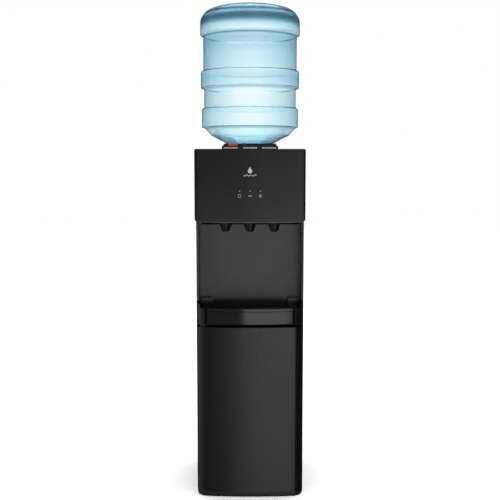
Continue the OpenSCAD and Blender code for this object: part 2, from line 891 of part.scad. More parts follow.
// Two disc thermostats on the hot tank's lid and one on the niche side of the cold tank's lid
module thermostats() {
    color(dark) {
        for (s = [-1, 1]) {
            disc([s * 24, hot_y, hot_z + hot_tank_h + 0.1], 8, 5);
            disc([s * 24, hot_y, hot_z + hot_tank_h + 5], 5, 4);
        }
        disc([44, axis_y, tank_top + 0.1], 7, 5);
    }
}

// Silicone hoses from the tanks to the taps
module water_hoses() {
    start_y = tap_y + 25.5;
    z = seat_z + seat_t + 12;
    bend = 8;
    foam_r = cold_tank_r + 2 * pipe_r + 3 + foam_t;
    lane_y = start_y + 5;
    low = tank_z - 20;
    color([0.86, 0.88, 0.88])
    for (i = [-1:1]) {
        side = foam_r + 12 + i * 2;
        route =
            i == 0 ? [[0, start_y, z], [0, tap_y + 33, z], [0, tap_y + 33, low + 6],
                      [0, axis_y - riser_back, low + 6],
                      [0, axis_y - riser_back, tank_z - 9.4]] :
            i == 1 ? [[tap_pitch, start_y, z], [tap_pitch, start_y + 15, z], [side, lane_y + 30, z - 4],
                      [side, axis_y + 20, low], [0, axis_y, low], [0, axis_y, tank_z - 9.4]] :
                     [[-tap_pitch, start_y, z], [-tap_pitch, start_y + 15, z], [-side, lane_y + 30, z - 4],
                      [-side, axis_y + 40, low - 20], [0, hot_y, low - 34],
                      [0, hot_y, hot_z + hot_tank_h + 14]];
        swept(bent(route, i == 0 ? 2 : bend), i == 0 ? hose_r - 1 : hose_r, 10);
    }
}

// ---------------------------------------------------------------- cooling system

module compressor() {
    r = compressor_r;
    z = compressor_z;
    plate = 2.5;
    color(dark)
    translate([0, compressor_y, 0]) {
        difference() {
            block([-r - 12, -r + 12, z], [r + 12, r - 12, z + plate]);
            grommet_places() disc([0, 0, z - over], 5, plate + 2 * over);
        }
        difference() {
            translate([0, 0, z + plate - 0.1]) rotate_extrude($fn = ring_fn) polygon(concat(
                [[0, 0], [r - 12, 0]],
                [for (a = [0:15:90]) [r - 12 + 12 * sin(a), 12 - 12 * cos(a)]],
                [for (a = [0:15:90]) [r * cos(a), compressor_h - 42 + 40 * sin(a)]]
            ));
            block([r - 6, -14, z + 40], [r + 12, 14, z + 80]);
        }
    }
}

module grommet_places() {
    for (sx = [-1, 1]) for (sy = [-1, 1])
        translate([sx * (compressor_r + 4), sy * (compressor_r - 22), 0]) children();
}

module compressor_grommets() {
    foot = pan_z + sheet_wall;
    color(rubber)
    translate([0, compressor_y, 0]) grommet_places() difference() {
        union() {
            disc([0, 0, foot + 0.1], 8.5, compressor_z - foot - 0.3);
            disc([0, 0, foot + 0.1], 4.7, compressor_z - foot + 6);
        }
        disc([0, 0, foot - over], 2.5, 30);
    }
}

// Serpentine tube behind the rear panel
module condenser_coil() {
    pitch = condenser_h / (condenser_rows - 1);
    turn = pitch / 2;
    bend = [for (a = [-75:15:75]) [turn * cos(a), turn * sin(a)]];
    route = [
        for (k = [0:condenser_rows - 1]) let (s = k % 2 == 0 ? 1 : -1, z = coil_z + k * pitch)
            each concat(
                [[-s * (coil_half - turn), coil_y, z], [s * (coil_half - turn), coil_y, z]],
                k == condenser_rows - 1 ? [] :
                    [for (b = bend) [s * (coil_half - turn + b[0]), coil_y, z + turn + b[1]]]
            )
    ];
    color(dark) swept(route, pipe_r, 8);
}

// Fine vertical wires welded to both faces of the serpentine, and the angle brackets that hold them
module condenser_wires() {
    half = coil_half - condenser_h / (condenser_rows - 1) / 2;
    count = 20;
    reach = coil_y - pipe_r - 2 * wire_r - 0.2;
    color(dark) {
        for (k = [0:count - 1], s = [-1, 1])
            disc([-half + k * 2 * half / (count - 1), coil_y + s * (pipe_r + wire_r - weld), coil_z - 6],
                 wire_r, condenser_h + 12, $fn = 16);
        for (s = [-1, 1]) for (z = [coil_z + 60, coil_top - 60]) {
            block([s * bracket_x - 5, rear_y + 0.1, z - 2], [s * bracket_x + 5, reach, z]);
            block([s * bracket_x - 5, rear_y + 0.1, z - 12], [s * bracket_x + 5, rear_y + 2.1, z - 1]);
        }
    }
}

module dryer_filter() {
    x = coil_half - 10;
    color(copper)
    translate([x, rear_y - 26, coil_z - 60]) {
        cylinder(r1 = 3, r2 = 9, h = 12);
        translate([0, 0, 12]) cylinder(r = 9, h = 70);
        translate([0, 0, 82]) cylinder(r1 = 9, r2 = 3, h = 12);
    }
}

// Discharge line to the condenser, liquid line to the dryer and suction line from the evaporator
module refrigerant_lines() {
    z = compressor_z + compressor_h * 0.5;
    pitch = condenser_h / (condenser_rows - 1);
    x = coil_half - 10;
    foam_r = cold_tank_r + 2 * pipe_r + 3 + foam_t;
    r = pipe_r;
    start = compressor_r + 0.5;
    end_x = -(coil_half - pitch / 2);
    color(copper) {
        swept(bent([[-start, compressor_y, z], [-start - 22, compressor_y, z],
                    [-start - 22, compressor_y + 30, z + 60], [line_x, rear_y - 14, coil_z - 40],
                    [line_x, rear_y - 14, coil_z - 22], [line_x, coil_y, coil_z - 22],
                    [end_x - 10, coil_y, coil_z - 14], [end_x - 10, coil_y, coil_z],
                    [end_x - 0.3, coil_y, coil_z]], 6), r, 8);
        swept(bent([[start, compressor_y, z], [start + 24, compressor_y, z],
                    [start + 24, compressor_y, hot_z - 40], [foam_r + 24, axis_y + 44, hot_z + 20],
                    [foam_r + 24, axis_y + 44, tank_top + 10]], 10), r + 0.5, 8);
    }
}

// ---------------------------------------------------------------- rear fittings

module switch_bezel() {
    y0 = rear_y - 14;
    color(black)
    for (x = switch_x) translate([x, 0, switch_z]) difference() {
        union() {
            block([-13, rear_y + 0.1, -18], [13, rear_y + 2.6, 18]);
            block([-10.5, y0, -15.5], [10.5, rear_y + 1, 15.5]);
        }
        block([-7.5, y0 + 2, -13], [7.5, rear_y + 4, 13]);
        pin_x([-9, rear_y - 3, 0], 1.5 + run_fit, 18);
    }
}

// Rocker tilted to its off position, on a pin across the bezel
module rocker(x, paint) {
    color(paint)
    translate([x, rear_y - 3, switch_z]) rotate([-10, 0, 0]) {
        intersection() {
            block([-7, -5, -11.6], [7, 9, 11.6]);
            union() {
                pin_x([-7, 0, 0], 6.5, 14);
                translate([-7, 0, 0]) rotate([90, 0, 90]) linear_extrude(14)
                    polygon([[0, -11.4], [0, 11.4], [7.4, 11.4], [5, 0], [7.4, -11.4]]);
            }
        }
        pin_x([-8.7, 0, 0], 1.5, 17.4);
    }
}

// Inlet gland for the mains lead, open for a lead of 8 mm
module cord_gland() {
    color(black)
    translate(gland_p) difference() {
        union() {
            pin_y([0, 0.1, 0], 12, 3);
            pin_y([0, -10, 0], 8, 24);
        }
        pin_y([0, -12, 0], 4, 30);
    }
}

module drain_outlet() {
    color(light)
    translate(drain_p) difference() {
        union() {
            pin_y([0, -22, 0], drain_r, 35);
            pin_y([0, 0.1, 0], drain_r + 4, 3);
        }
        pin_y([0, -23, 0], drain_r - 2.5, 40);
    }
}

// Plug washer inside the drain cap
module drain_washer() {
    color(rubber)
    translate(drain_p) {
        pin_y([0, 13.1, 0], drain_r + 0.5, 1.8);
        pin_y([0, 8, 0], drain_r - 3, 5.2);
    }
}

module drain_cap() {
    color(dark)
    translate(drain_p) difference() {
        pin_y([0, 5.5, 0], drain_r + 3.5, 12.5);
        pin_y([0, 5, 0], drain_r + 1, 10.2);
        for (a = [0:30:330]) rotate([0, a, 0]) pin_y([drain_r + 4.6, 4, 0], 1.6, 20);
    }
}

// ---------------------------------------------------------------- bottle

// Bottle profile as [radius, height, inward step of the inside wall in height]
function bottle_profile() =
    let (
        z = head_top,
        r = bottle_r,
        crown = 62,
        rise = 32
    ) concat(
        [[0, bottle_top, -1]],
        [for (a = [90:-15:0])
            [crown + (r - crown) * cos(a), bottle_top - rise + rise * sin(a), a > 0 ? -1 : 0]],
        [
            [r, bottle_top - 76.5, 0], [r - 8.5, bottle_top - 83, 0],
            [r - 8.5, z + 221, 0], [r - 1.5, z + 216, 0], [r - 1.5, z + 172, 0], [r - 10.5, z + 167, 0],
            [r - 10.5, z + 118, 0], [r - 3.8, z + 113, 0], [r - 3.8, z + 62.5, 0],
            [r - 13.5, shoulder_z, 1], [r - 20, z + 51, 1], [r - 29, z + 40, 1],
            [collar_r + play, cone_z, 1], [neck_r + 1, neck_z, 1], [neck_r, neck_z - 4, 0]
        ]
    );

module bottle() {
    outer = bottle_profile();
    t = bottle_wall;
    neck = [[neck_r, mouth_z], [0, mouth_z]];
    hollow = [[neck_r - t, mouth_z - over], [0, mouth_z - over]];
    color(pale_blue)
    translate([0, axis_y, 0]) difference() {
        rotate_extrude($fn = ring_fn) polygon(concat([for (p = outer) [p[0], p[1]]], neck));
        rotate_extrude($fn = ring_fn)
            polygon(concat([for (p = outer) [max(0, p[0] - t), p[1] + t * p[2]]], hollow));
    }
}

// Snap cap whose middle is open round the water probe
module bottle_cap() {
    color(light)
    translate([0, axis_y, 0]) difference() {
        disc([0, 0, cap_z], neck_r + 2.4, 30);
        disc([0, 0, mouth_z - seam], neck_r + 0.2, 40);
        disc([0, 0, cap_z + 2], neck_r - 4, 12);
        disc([0, 0, cap_z - over], 13, 10);
    }
}

base_pan();
base_plinth();
rubber_feet();
side_panel(-1);  // left_side_panel
side_panel(1);  // right_side_panel
front_panel();
niche_liner();
tray_holder();
drip_tray();
drip_grille();
head_cover();
top_cover();
bottle_funnel();
water_probe();
funnel_seal();
button_housing();
button(-1);  // hot_button
button(0);  // room_button
button(1);  // cold_button
child_lock();
push_rod(-1);  // hot_push_rod
push_rod(0);  // room_push_rod
push_rod(1);  // cold_push_rod
tap(-1);  // hot_tap
tap(0);  // room_tap
tap(1);  // cold_tap
plunger(-1);  // hot_plunger
plunger(0);  // room_plunger
plunger(1);  // cold_plunger
return_spring(-1);  // hot_spring
return_spring(0);  // room_spring
return_spring(1);  // cold_spring
indicator_board();
indicator_lights();
cold_tank();
cold_insulation();
evaporator_coil();
baffle_plate();
hot_tank();
hot_insulation();
heater_band();
thermostats();
water_hoses();
compressor();
compressor_grommets();
condenser_coil();
condenser_wires();
dryer_filter();
refrigerant_lines();
rear_panel();
switch_bezel();
rocker(switch_x[0], red);  // hot_switch
rocker(switch_x[1], [0.1, 0.5, 0.2]);  // cold_switch
cord_gland();
drain_outlet();
drain_washer();
drain_cap();
bottle();
bottle_cap();
panel_screws();
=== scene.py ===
"""Looks for a top-loading bottled water dispenser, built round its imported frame.

Metres throughout; +X is the user's right, -Y the front and +Z up, as in the frame.
"""
import json
import math

import bmesh
import bpy
import numpy as np
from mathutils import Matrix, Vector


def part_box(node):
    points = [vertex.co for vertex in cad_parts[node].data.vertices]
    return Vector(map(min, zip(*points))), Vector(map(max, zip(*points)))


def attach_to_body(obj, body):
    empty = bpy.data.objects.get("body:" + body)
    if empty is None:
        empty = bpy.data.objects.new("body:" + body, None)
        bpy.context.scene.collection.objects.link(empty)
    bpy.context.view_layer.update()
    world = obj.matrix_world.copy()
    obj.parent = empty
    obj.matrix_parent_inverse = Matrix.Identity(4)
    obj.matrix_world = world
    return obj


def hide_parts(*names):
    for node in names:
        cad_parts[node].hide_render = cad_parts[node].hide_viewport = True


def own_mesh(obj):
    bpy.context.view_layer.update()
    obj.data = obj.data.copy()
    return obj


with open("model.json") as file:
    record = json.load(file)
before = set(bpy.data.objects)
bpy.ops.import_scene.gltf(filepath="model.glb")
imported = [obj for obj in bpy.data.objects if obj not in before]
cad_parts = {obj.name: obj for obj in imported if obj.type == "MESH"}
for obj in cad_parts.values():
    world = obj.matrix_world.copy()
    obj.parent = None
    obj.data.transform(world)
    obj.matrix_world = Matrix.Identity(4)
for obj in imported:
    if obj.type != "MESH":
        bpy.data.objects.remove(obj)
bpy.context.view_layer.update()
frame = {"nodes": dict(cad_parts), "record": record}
MM = 0.001


# ------------------------------------------------------------------ places, taken from the frame

def corners(name):
    """Lowest and highest corner of a CAD node as two arrays."""
    low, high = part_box(name)
    return np.array(low, float), np.array(high, float)


HEAD_LOW, HEAD_HIGH = corners("head_cover")
FRONT = HEAD_LOW[1]
BOTTLE_LOW, BOTTLE_HIGH = corners("bottle")
AXIS_Y = (BOTTLE_LOW[1] + BOTTLE_HIGH[1]) / 2
BOTTLE_R = (BOTTLE_HIGH[0] - BOTTLE_LOW[0]) / 2


# ------------------------------------------------------------------ camera, light and floor

EYE_BACK = 2.246
EYE_HEIGHT = 0.9307
EYE_TILT = 6.02

# Brightness of the surroundings by compass angle, 0 behind the camera and + to the right: what
# faces see that look a little down, and what faces see that look a little up
LOW_BOXES = [
    (-180, 0.01), (-132, 0.02), (-108, 0.6), (-60, 0.5), (-38, 0.22), (-6, 0.26), (-3, 1.65), (27, 1.65),
    (33, 0.16), (60, 0.04), (130, 0.03), (180, 0.03)]
HIGH_BOXES = [
    (-180, 0.01), (-125, 0.02), (-100, 0.2), (-60, 0.05), (-20, 0.0), (-6, 0.01), (2, 0.34), (8, 0.5),
    (27, 0.5), (36, 0.06), (180, 0.03)]


def studio():
    """Camera at the catalogue angle, a pale floor, and soft light from above and from the right."""
    cam = bpy.data.cameras.new("camera")
    cam.sensor_width = 36
    cam.lens = 60.1
    cam.clip_end = 60
    eye = bpy.data.objects.new("camera", cam)
    eye.location = (0.0, FRONT - EYE_BACK, EYE_HEIGHT)
    eye.rotation_euler = (math.radians(90 - EYE_TILT), 0, 0)
    bpy.context.scene.collection.objects.link(eye)
    bpy.context.scene.camera = eye

    sky = bpy.data.worlds.new("studio")
    sky.use_nodes = True
    tree = sky.node_tree
    way = add(tree, "ShaderNodeTexCoord")
    axis = add(tree, "ShaderNodeSeparateXYZ", {"Vector": way.outputs["Generated"]})
    back = add(tree, "ShaderNodeMath", {0: axis.outputs["Y"], 1: -1.0}, operation="MULTIPLY")
    turn = add(tree, "ShaderNodeMath", {0: axis.outputs["X"], 1: back.outputs[0]}, operation="ARCTAN2")
    share = spread(tree, turn.outputs[0], -math.pi, math.pi)
    low, high = (
        ramp(tree, share, [(0.5 + a / 360, (v, v, v, 1)) for a, v in boxes])
        for boxes in (LOW_BOXES, HIGH_BOXES))
    rise = spread(tree, axis.outputs["Z"], -0.11, -0.015)
    boxes = add(tree, "ShaderNodeMix", {"Factor": rise, "A": low.outputs["Color"],
                                        "B": high.outputs["Color"]}, data_type="RGBA")
    fade = ramp(tree, spread(tree, axis.outputs["Z"], -1.0, 1.0), [
        (0.0, (0.3, 0.3, 0.3, 1)), (0.32, (0.5, 0.5, 0.5, 1)), (0.41, (1, 1, 1, 1)), (1.0, (1, 1, 1, 1))])
    lit = add(tree, "ShaderNodeMix", {"Factor": 1.0, "A": mixed(boxes), "B": fade.outputs["Color"]},
              data_type="RGBA", blend_type="MULTIPLY")
    ray = add(tree, "ShaderNodeLightPath")
    seen = add(tree, "ShaderNodeMath",
               {0: ray.outputs["Is Camera Ray"], 1: ray.outputs["Is Transmission Ray"]}, operation="MAXIMUM")
    depth = add(tree, "ShaderNodeMath", {0: axis.outputs["Y"]}, operation="ABSOLUTE")
    ahead = ramp(tree, depth.outputs[0], [
        (0.0, (0.3, 0.31, 0.32, 1)), (0.45, (0.34, 0.35, 0.36, 1)), (0.7, (0.85, 0.86, 0.87, 1)),
        (0.9, (1.1, 1.1, 1.1, 1))])
    clear = add(tree, "ShaderNodeMix", {"Factor": ray.outputs["Is Camera Ray"], "A": ahead.outputs["Color"],
                                        "B": (1, 1, 1, 1)}, data_type="RGBA")
    shown = add(tree, "ShaderNodeMix", {"Factor": seen.outputs[0], "A": mixed(lit), "B": mixed(clear)},
                data_type="RGBA")
    lamp = tree.nodes["Background"]
    tree.links.new(mixed(shown), lamp.inputs["Color"])
    lamp.inputs["Strength"].default_value = 1.0
    bpy.context.scene.world = sky
    bpy.context.scene.view_settings.view_transform = "Standard"

    sun = bpy.data.lights.new("overhead_silk", "SUN")
    sun.energy = 4.8
    sun.angle = math.radians(80)
    silk = bpy.data.objects.new("overhead_silk", sun)
    silk.rotation_euler = (math.radians(-6), math.radians(2), 0)
    silk.visible_glossy = False
    bpy.context.scene.collection.objects.link(silk)

    grid = np.array([(-9, -9, 0), (9, -9, 0), (9, 9, 0), (-9, 9, 0)], float)
    floor = new_mesh("floor", grid, [(0, 1, 2, 3)], painted_floor())
    floor.visible_glossy = False


# ------------------------------------------------------------------ material tools

def srgb(code):
    """sRGB hex to a linear RGBA colour."""
    part = [int(code[i:i + 2], 16) / 255 for i in (1, 3, 5)]
    return tuple(c / 12.92 if c <= 0.04045 else ((c + 0.055) / 1.055) ** 2.4 for c in part) + (1.0,)


def add(tree, kind, links=None, **settings):
    """Adds a node, sets its fields and its sockets' values, and links sockets given as sockets."""
    made = tree.nodes.new(kind)
    for key, value in settings.items():
        setattr(made, key, value)
    for key, value in (links or {}).items():
        if isinstance(key, str):
            socket = next(s for s in made.inputs if s.name == key and s.enabled)
        else:
            socket = made.inputs[key]
        if isinstance(value, bpy.types.NodeSocket):
            tree.links.new(value, socket)
        else:
            socket.default_value = value
    return made


def mixed(node):
    """The colour output of a Mix node, whichever data type it is set to."""
    return next(o for o in node.outputs if o.enabled)


def blank(name):
    """A material with only a Principled shader and its output."""
    mat = bpy.data.materials.new(name)
    mat.use_nodes = True
    tree = mat.node_tree
    return mat, tree, tree.nodes["Principled BSDF"]


def ramp(tree, source, stops):
    """A colour ramp over source with (position, colour) stops."""
    made = add(tree, "ShaderNodeValToRGB", {"Fac": source})
    band = made.color_ramp
    while len(band.elements) < len(stops):
        band.elements.new(0.5)
    for element, (position, colour) in zip(band.elements, stops):
        element.position = position
        element.color = colour
    return made


def spread(tree, value, low, high, start=0.0, end=1.0):
    """Value rescaled so that low to high becomes start to end, held still past both."""
    made = add(tree, "ShaderNodeMapRange",
               {"Value": value, "From Min": low, "From Max": high, "To Min": start, "To Max": end})
    return made.outputs["Result"]


def grain(tree, size_mm, detail=3.0, rough=0.6, stretch=(1, 1, 1)):
    """Noise on Object coordinates whose main feature is size_mm across."""
    place = add(tree, "ShaderNodeTexCoord")
    turned = add(tree, "ShaderNodeMapping", {"Vector": place.outputs["Object"], "Scale": stretch})
    return add(tree, "ShaderNodeTexNoise", {
        "Vector": turned.outputs["Vector"], "Scale": 1 / (size_mm * MM), "Detail": detail,
        "Roughness": rough})


def surface(name, dark, light, rough, bump_mm, grain_mm, patch_mm=60, **constants):
    """A solid finish: colour drifts between two tones over patches, roughness varies, fine grain bumps."""
    mat, tree, shader = blank(name)
    patch = grain(tree, patch_mm, 4.0)
    tone = ramp(tree, patch.outputs["Fac"], [(0.35, srgb(dark)), (0.65, srgb(light))])
    tree.links.new(tone.outputs["Color"], shader.inputs["Base Color"])
    smear = grain(tree, patch_mm / 4, 5.0, 0.7)
    gloss = spread(tree, smear.outputs["Fac"], 0.3, 0.7, rough[0], rough[1])
    tree.links.new(gloss, shader.inputs["Roughness"])
    pits = grain(tree, grain_mm, 2.0)
    bump = add(tree, "ShaderNodeBump",
               {"Height": pits.outputs["Fac"], "Strength": 0.5, "Distance": bump_mm * MM})
    tree.links.new(bump.outputs["Normal"], shader.inputs["Normal"])
    for key, value in constants.items():
        shader.inputs[key.replace("_", " ")].default_value = value
    return mat


def painted_floor():
    """Matt white studio floor: faint mottling keeps it from being dead flat."""
    return surface("painted_floor", "#fbfbfb", "#ffffff", (0.6, 0.7), 0.1, 8, 400)


def satin_abs():
    """Injection-moulded black ABS with a fine spark texture: a soft wide sheen over near-black."""
    return surface("satin_black_abs", "#0a0a0b", "#0d0d0e", (0.22, 0.28), 0.015, 1.6, 90, IOR=1.5)


def gloss_abs():
    """Polished black ABS of the drip tray: reflects the soft boxes with a crisp edge."""
    return surface("polished_black_abs", "#0a0a0b", "#0d0d0e", (0.09, 0.14), 0.004, 3.0, 60, IOR=1.52)


def niche_abs():
    """Half-gloss charcoal ABS of the niche liner: a shade greyer than the covers."""
    return surface("charcoal_abs", "#3e3e40", "#444446", (0.3, 0.38), 0.01, 2.0, 90, IOR=1.53)


def dark_abs():
    """Coarser-textured dark ABS of hidden and floor-level mouldings: duller than the covers."""
    return surface("textured_dark_abs", "#0c0c0d", "#111112", (0.42, 0.52), 0.05, 2.2, 60, IOR=1.53)


def powder_coat():
    """Black polyester powder coat on sheet steel: fine orange peel breaks up the reflections."""
    return surface("black_powder_coat", "#0e0e0f", "#131314", (0.36, 0.46), 0.12, 2.8, 120, IOR=1.5)


def stainless():
    """Drawn stainless steel: bright, with faint draw marks round the shell."""
    return surface("drawn_stainless", "#b9bcc0", "#cfd1d4", (0.22, 0.34), 0.04, 1.2, 30, Metallic=1.0)


def spring_wire():
    """Bright carbon-steel spring wire under a film of oil."""
    return surface("oiled_spring_wire", "#8f9194", "#b0b2b5", (0.2, 0.32), 0.02, 0.8, 6, Metallic=1.0)


def copper_tube():
    """Drawn copper tube, dulled to brown in patches by handling and brazing heat."""
    return surface("drawn_copper", "#a4633f", "#c98a63", (0.24, 0.42), 0.03, 1.0, 18, Metallic=1.0)


def bead_foam():
    """Expanded polystyrene: white beads about 4 mm across pressed together."""
    mat, tree, shader = blank("bead_foam")
    place = add(tree, "ShaderNodeTexCoord")
    beads = add(tree, "ShaderNodeTexVoronoi", {"Vector": place.outputs["Object"], "Scale": 1 / (4 * MM)})
    tone = ramp(tree, beads.outputs["Distance"], [(0.2, srgb("#f4f4ef")), (0.75, srgb("#dcdcd4"))])
    tree.links.new(tone.outputs["Color"], shader.inputs["Base Color"])
    bump = add(tree, "ShaderNodeBump",
               {"Height": beads.outputs["Distance"], "Strength": 0.6, "Distance": 0.4 * MM}, invert=True)
    tree.links.new(bump.outputs["Normal"], shader.inputs["Normal"])
    shader.inputs["Roughness"].default_value = 0.85
    return mat


def grey_pp():
    """Natural grey polypropylene: waxy, slightly mottled."""
    return surface("grey_polypropylene", "#9a9c9f", "#a8aaad", (0.38, 0.5), 0.05, 1.8, 25, IOR=1.49)


def trim_grey():
    """Light grey painted trim below each button."""
    return surface("light_grey_trim", "#8e8f91", "#a2a3a5", (0.3, 0.4), 0.02, 1.2, 12, IOR=1.5)


def silicone():
    """Milky silicone hose: cloudy white with a soft skin."""
    return surface("milky_silicone", "#c9cdcd", "#dde0e0", (0.4, 0.5), 0.03, 1.5, 20, IOR=1.41)


def rubber():
    """Moulded black rubber with a dusty bloom: very dull and slightly grey."""
    return surface("bloomed_rubber", "#151515", "#242424", (0.7, 0.85), 0.1, 1.4, 14, IOR=1.52)


def red_abs():
    """Glossy red ABS of the child lock and the heater switch."""
    return surface("glossy_red_abs", "#a5281f", "#b93127", (0.2, 0.3), 0.02, 1.4, 10, IOR=1.53)


def green_abs():
    """Glossy green ABS of the cooling switch."""
    return surface("glossy_green_abs", "#1d7a3a", "#248a45", (0.2, 0.3), 0.02, 1.4, 10, IOR=1.53)


def circuit_board():
    """Green solder mask over glass fibre: a faint 3 mm weave of traces shows through."""
    return surface("solder_mask", "#0d4a24", "#14602f", (0.28, 0.4), 0.04, 3.0, 8, IOR=1.5)


# Painted shade on the bottle's front half, given as how dark its tint is by height above the head in
# millimetres: darkest at the cone, in the corners of the bands and under the shoulder crease, where
# dark surroundings would show through the plastic by refraction and reflection
BOTTLE_PAINTED_SHADE = [
    (0, 0.95), (12, 0.75), (26, 0.3), (40, 0.03), (56, 0.02), (59.5, 0.42), (63, 0.04), (100, 0.06),
    (112, 0.16), (121, 0.02), (163, 0.02), (167.5, 0.42), (172, 0.1), (196, 0.25), (216, 0.12), (262, 0.22),
    (298, 0.36), (308, 0.3), (312.5, 0.75), (317, 0.06), (326, 0.05), (336, 0.25), (345, 0.7), (353, 0.92),
    (360, 0.8), (366, 0.42), (370, 0.5), (374, 0.95), (377, 0.4), (382, 0.1), (388, 0.3), (395, 0.3)]


def bottle_plastic():
    """Pale blue polycarbonate, blow moulded: clear, deeper blue where the wall is seen edge-on, with
    painted shade in bands across its front half for the darkness that refracted surroundings give."""
    mat, tree, shader = blank("blue_polycarbonate")
    edge = add(tree, "ShaderNodeLayerWeight", {"Blend": 0.5})
    tone = ramp(tree, edge.outputs["Facing"], [
        (0.0, srgb("#f4fcfd")), (0.12, srgb("#e9f7fa")), (0.35, srgb("#d8edf3")), (0.6, srgb("#c4dde6")),
        (0.85, srgb("#acc6d0")), (1.0, srgb("#8ba4ae"))])
    place = add(tree, "ShaderNodeTexCoord")
    split = add(tree, "ShaderNodeSeparateXYZ", {"Vector": place.outputs["Object"]})
    foot = HEAD_HIGH[2]
    tall = BOTTLE_HIGH[2] - foot
    height = spread(tree, split.outputs["Z"], foot, BOTTLE_HIGH[2])
    # Painted shade: how dark the tint is at each height, then blue-grey tints from near white to dark slate
    wall = ramp(tree, height, [(h * MM / tall, (d, d, d, 1)) for h, d in BOTTLE_PAINTED_SHADE])
    bands = ramp(tree, wall.outputs["Color"], [
        (0.0, srgb("#fbfeff")), (0.2, srgb("#dcedf6")), (0.45, srgb("#a9c6d4")), (0.75, srgb("#738e9e")),
        (1.0, srgb("#4b5d69"))])
    # The painted shade covers only the front half of the bottle, the side the camera sees
    front = spread(tree, split.outputs["Y"], AXIS_Y + 10 * MM, AXIS_Y - 10 * MM)
    front_painted_shade = add(tree, "ShaderNodeMix", {"Factor": front, "A": (1, 1, 1, 1),
                                       "B": bands.outputs["Color"]}, data_type="RGBA")
    both = add(tree, "ShaderNodeMix", {"Factor": 1.0, "A": tone.outputs["Color"], "B": mixed(front_painted_shade)},
               data_type="RGBA", blend_type="MULTIPLY")
    tree.links.new(mixed(both), shader.inputs["Base Color"])
    shader.inputs["Transmission Weight"].default_value = 1.0
    shader.inputs["IOR"].default_value = 1.4
    ripple = grain(tree, 45, 2.0, 0.5, (1, 1, 0.35))
    tree.links.new(spread(tree, ripple.outputs["Fac"], 0.3, 0.7, 0.03, 0.08), shader.inputs["Roughness"])
    bump = add(tree, "ShaderNodeBump",
               {"Height": ripple.outputs["Fac"], "Strength": 0.2, "Distance": 0.2 * MM})
    tree.links.new(bump.outputs["Normal"], shader.inputs["Normal"])
    return mat


def printed_ink():
    """Light grey screen-printing ink: matt and very slightly uneven."""
    return surface("printing_ink", "#b9babc", "#c9cacc", (0.45, 0.55), 0.02, 0.9, 5)


# ------------------------------------------------------------------ mesh tools

def new_mesh(name, points, faces, mat, smooth=False):
    """A mesh object at the origin from arrays of points and faces."""
    mesh = bpy.data.meshes.new(name)
    mesh.from_pydata([tuple(p) for p in points], [], [tuple(f) for f in faces])
    mesh.materials.append(mat)
    mesh.polygons.foreach_set("use_smooth", np.full(len(mesh.polygons), smooth))
    mesh.update()
    piece = bpy.data.objects.new(name, mesh)
    bpy.context.scene.collection.objects.link(piece)
    return piece


def ring_faces(rows, cols):
    """Quads between rows rings of cols points each, every ring closed on itself."""
    r = np.arange(rows - 1)[:, None]
    c = np.arange(cols)[None, :]
    r1, c1 = (r + 1) % rows, (c + 1) % cols
    quads = np.stack([r * cols + c, r * cols + c1, r1 * cols + c1, r1 * cols + c], -1)
    return quads.reshape(-1, 4)


def rounded(points, radii, steps=6):
    """A 2D or 3D polyline whose corners are replaced by curves of the given radii.

    Each corner becomes a quadratic curve that leaves the incoming line one radius before the
    corner and joins the outgoing line one radius after it, shortened where a side is too short.
    """
    points = [np.array(p, float) for p in points]
    out = [points[0]]
    for before, corner, after, r in zip(points, points[1:], points[2:], radii):
        a, b = before - corner, after - corner
        r = min(r, 0.49 * np.linalg.norm(a), 0.49 * np.linalg.norm(b))
        start, end = corner + r * a / np.linalg.norm(a), corner + r * b / np.linalg.norm(b)
        t = np.linspace(0, 1, steps + 1)[:, None]
        out.extend((1 - t) ** 2 * start + 2 * t * (1 - t) * corner + t ** 2 * end)
    out.append(points[-1])
    return np.array(out)


def revolve(name, profile, mat, centre=(0.0, 0.0), around=160):
    """Turns a (radius, height) profile about a vertical axis at centre.

    x = cx + r(s) cos a, y = cy + r(s) sin a, z = h(s). A profile that starts or ends on the axis
    is closed there with a fan about one pole point.
    """
    profile = np.array(profile, float)
    poles = [profile[0] if profile[0, 0] < 1e-9 else None, profile[-1] if profile[-1, 0] < 1e-9 else None]
    body = profile[(1 if poles[0] is not None else 0):(-1 if poles[1] is not None else None)]
    a = np.linspace(0, 2 * math.pi, around, endpoint=False)[None, :]
    r, h = body[:, 0][:, None], body[:, 1][:, None] + 0 * a
    points = np.stack([centre[0] + r * np.cos(a), centre[1] + r * np.sin(a), h], -1).reshape(-1, 3)
    faces = [tuple(f) for f in ring_faces(len(body), around)]
    ring = np.arange(around)
    if poles[0] is not None:
        points = np.vstack([points, [[centre[0], centre[1], poles[0][1]]]])
        faces += [(len(points) - 1, (k + 1) % around, k) for k in ring]
    if poles[1] is not None:
        points = np.vstack([points, [[centre[0], centre[1], poles[1][1]]]])
        last = (len(body) - 1) * around
        faces += [(len(points) - 1, last + k, last + (k + 1) % around) for k in ring]
    return new_mesh(name, points, faces, mat, smooth=True)


def outward(piece):
    """Recalculates a closed mesh's normals so that they point out."""
    work = bmesh.new()
    work.from_mesh(piece.data)
    bmesh.ops.recalc_face_normals(work, faces=work.faces)
    work.to_mesh(piece.data)
    work.free()


def merged(name, suffix, mat):
    """A copy of a CAD node with its loose triangles joined: vertices at one place become one."""
    source = frame["nodes"][name]
    flat = np.empty(len(source.data.vertices) * 3)
    source.data.vertices.foreach_get("co", flat)
    flat = flat.reshape(-1, 3)
    _, first, back = np.unique(np.round(flat, 6), axis=0, return_index=True, return_inverse=True)
    back = back.reshape(-1)
    faces = [tuple(back[v] for v in f.vertices) for f in source.data.polygons]
    return new_mesh(name + suffix, flat[first], [f for f in faces if len(set(f)) == 3], mat, smooth=True)


def stand_in(piece, name):
    """Puts a new piece in the place of one CAD node, on its body."""
    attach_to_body(piece, body_with(name))
    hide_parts(name)
    return piece


